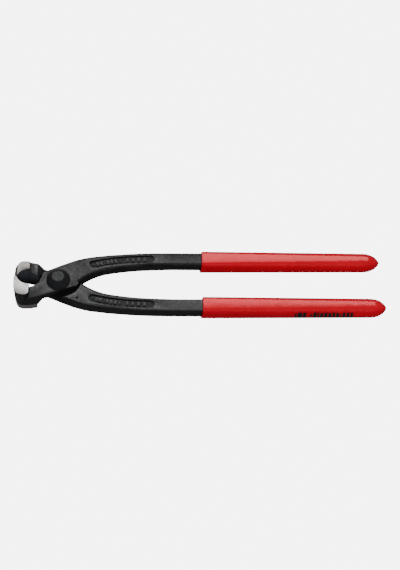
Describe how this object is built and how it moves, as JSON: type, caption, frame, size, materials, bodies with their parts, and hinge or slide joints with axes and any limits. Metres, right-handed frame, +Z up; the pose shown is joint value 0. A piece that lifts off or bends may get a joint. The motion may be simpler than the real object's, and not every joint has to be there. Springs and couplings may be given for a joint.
{
  "type": "end-cutting tying nippers",
  "caption": "Long-handled end-cutting nippers: crossed forged levers on a rivet, a round jaw hollow closing on a front cutting edge, and dipped grip sleeves.",
  "frame": {"origin": "centre of the rivet's flat foot, on the pivot axis, with the tool lying flat", "axes": "+X from the pivot towards the handles, +Y towards the upper lever's handle, +Z up along the pivot axis; the jaws are at -X"},
  "size_m": [0.302, 0.0592, 0.024],
  "materials": {
    "forged_steel": "black phosphated forging with ground bright jaw faces",
    "ground_steel": "ground bright",
    "rivet_steel": "black phosphated, satin",
    "red_sleeve": "glossy dipped vinyl",
    "black_print": "printed bars"
  },
  "bodies": {
    "upper_lever_body": {"upper_lever": "forged_steel", "upper_grip_sleeve": "red_sleeve", "pivot_rivet": "rivet_steel"},
    "lower_lever_body": {"lower_lever": "forged_steel", "lower_grip_sleeve": "red_sleeve"}
  },
  "joints": [
    {"name": "pivot", "type": "hinge", "parent": "upper_lever_body", "child": "lower_lever_body", "pos_m": [0, 0, 0.012], "axis": [0, 0, -1], "range_deg": [0, 38]}
  ]
}
